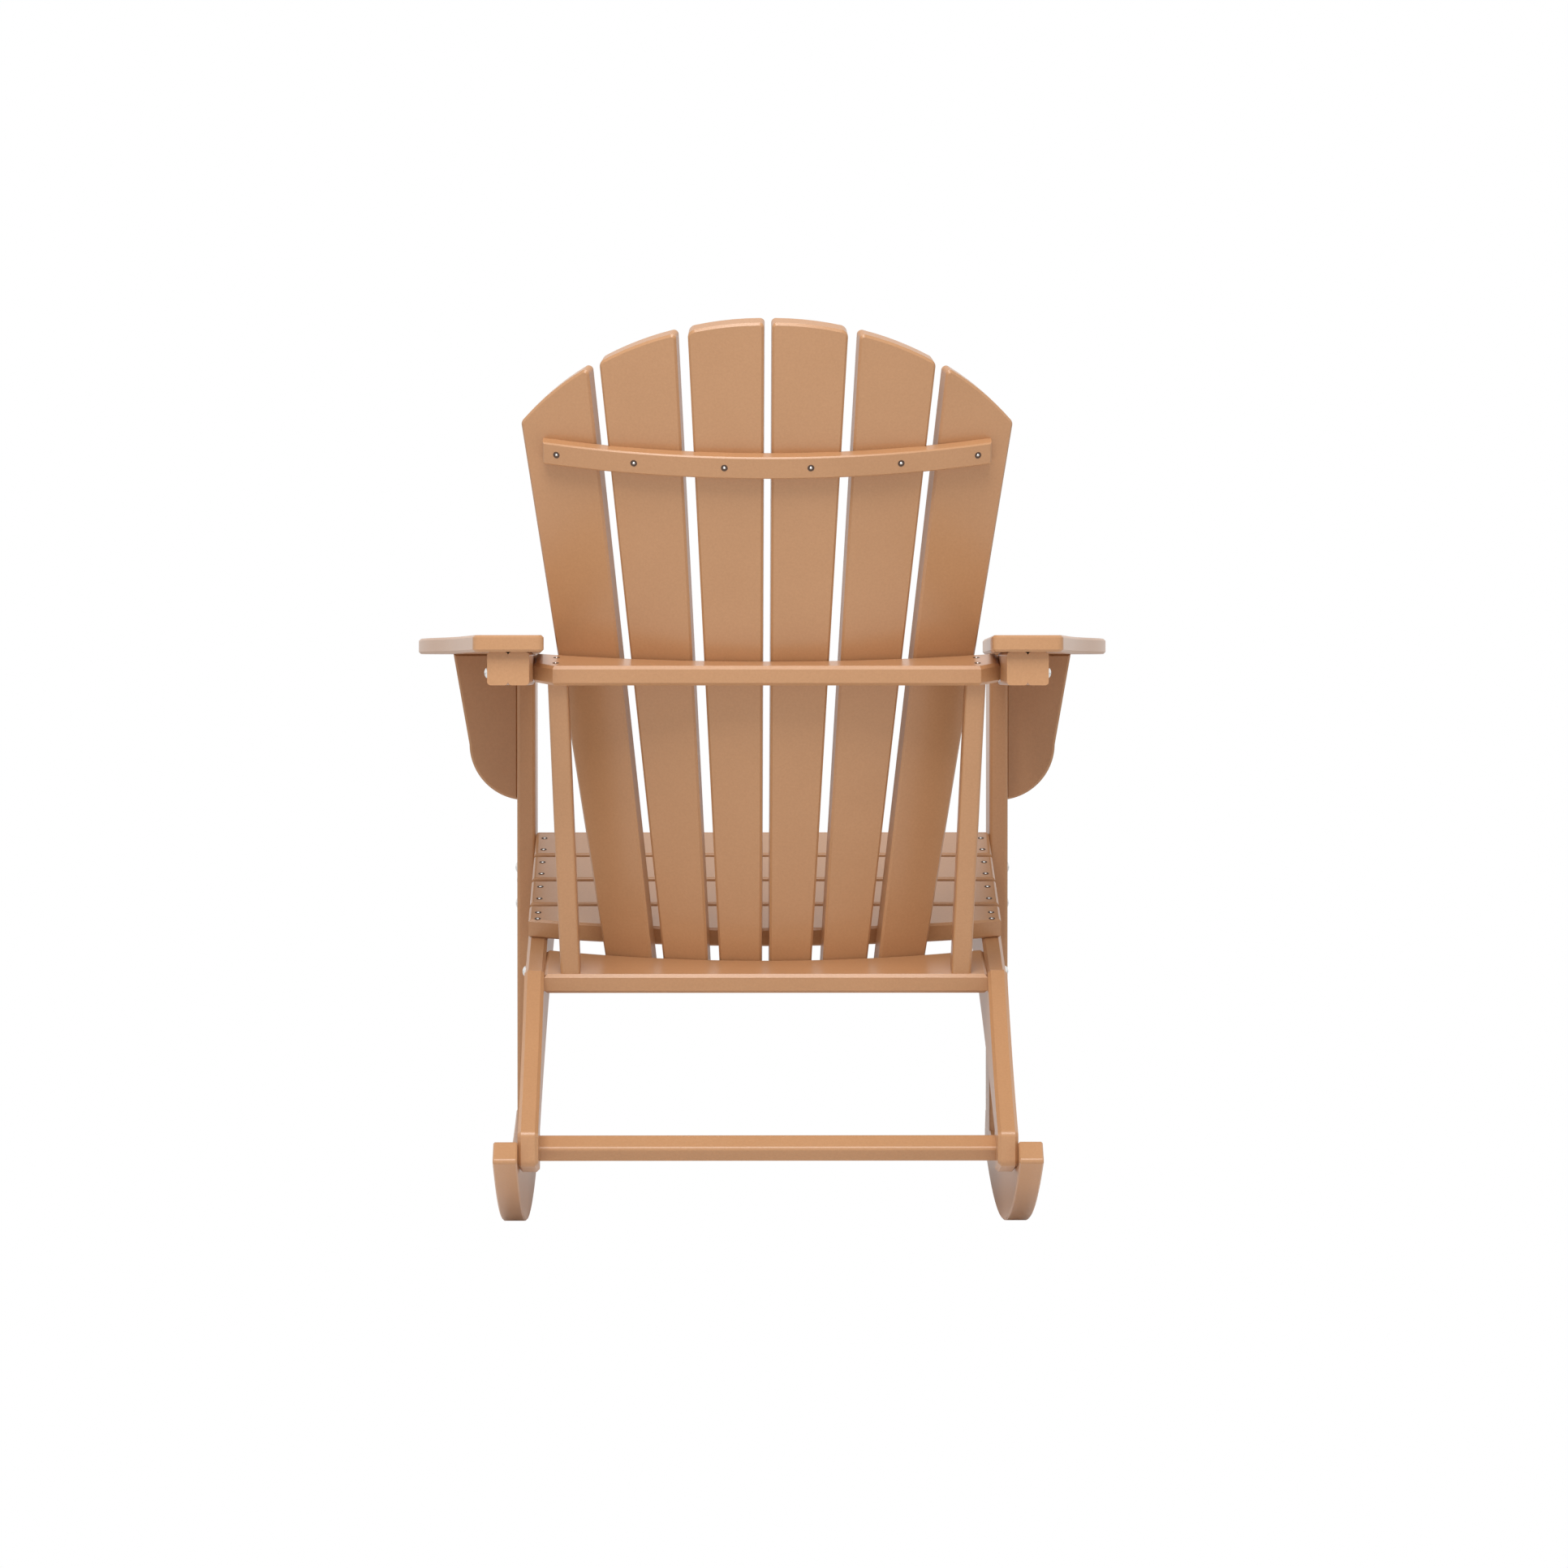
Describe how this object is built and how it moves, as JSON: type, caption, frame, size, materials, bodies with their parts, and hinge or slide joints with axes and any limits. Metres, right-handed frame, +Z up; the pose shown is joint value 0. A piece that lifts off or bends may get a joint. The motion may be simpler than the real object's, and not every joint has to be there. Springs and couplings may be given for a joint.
{
  "type": "rocking garden chair",
  "caption": "Rocking Adirondack chair with a fanned slat back, a sloped slat seat, wide flat arms on corbels and curved rockers.",
  "frame": {"origin": "on the floor below the middle of the chair", "axes": "+Z up, +Y the way the sitter faces, +X to the sitter's right"},
  "size_m": [0.82, 0.818, 1.006],
  "materials": {
    "lumber": "satin moulded lumber with a fine lengthwise grain",
    "steel": "satin"
  },
  "bodies": {
    "root": {"arm_left": "lumber", "arm_rail": "lumber", "arm_right": "lumber", "back_slat_1_left": "lumber", "back_slat_1_right": "lumber", "back_slat_2_left": "lumber", "back_slat_2_right": "lumber", "back_slat_3_left": "lumber", "back_slat_3_right": "lumber", "bolt_heads": "steel", "cleat_inner_left": "lumber", "cleat_inner_right": "lumber", "cleat_outer_left": "lumber", "cleat_outer_right": "lumber", "corbel_left": "lumber", "corbel_right": "lumber", "leg_left": "lumber", "leg_right": "lumber", "post_left": "lumber", "post_right": "lumber", "rocker_left": "lumber", "rocker_right": "lumber", "rocker_stretcher": "lumber", "seat_apron": "lumber", "seat_nose_slat": "lumber", "seat_rail": "lumber", "seat_slat_1": "lumber", "seat_slat_2": "lumber", "seat_slat_3": "lumber", "seat_slat_4": "lumber", "stringer_left": "lumber", "stringer_right": "lumber", "top_rail": "lumber"}
  },
  "joints": []
}
